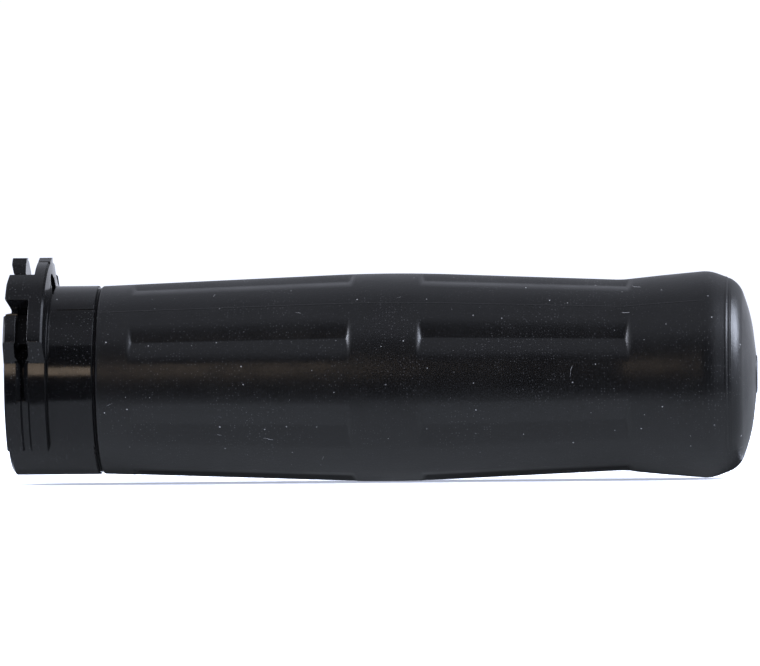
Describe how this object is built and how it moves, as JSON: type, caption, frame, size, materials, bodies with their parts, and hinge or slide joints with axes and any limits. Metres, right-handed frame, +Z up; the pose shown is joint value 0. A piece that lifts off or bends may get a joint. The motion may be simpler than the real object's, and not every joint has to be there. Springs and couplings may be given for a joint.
{
  "type": "throttle grip",
  "caption": "Twist throttle grip: fluted rubber grip with a flared closed end, on a moulded sleeve whose open end carries a notched cable reel.",
  "frame": {"origin": "centre of the handlebar bore at the sleeve's open end, in the plane of the cable reel's outer face", "axes": "+X along the grip from the open reel end to the closed domed end, +Z up through the hooks of the cable reel, +Y away from the rider; the handlebar leaves along -X"},
  "size_m": [0.1442, 0.044, 0.0439],
  "materials": {
    "nylon": "satin-gloss moulded black nylon",
    "grip_rubber": "smooth satin black rubber",
    "button_plastic": "plain black plastic"
  },
  "bodies": {
    "root": {"throttle_sleeve": "nylon", "rubber_grip": "grip_rubber", "end_button": "button_plastic"}
  },
  "joints": []
}
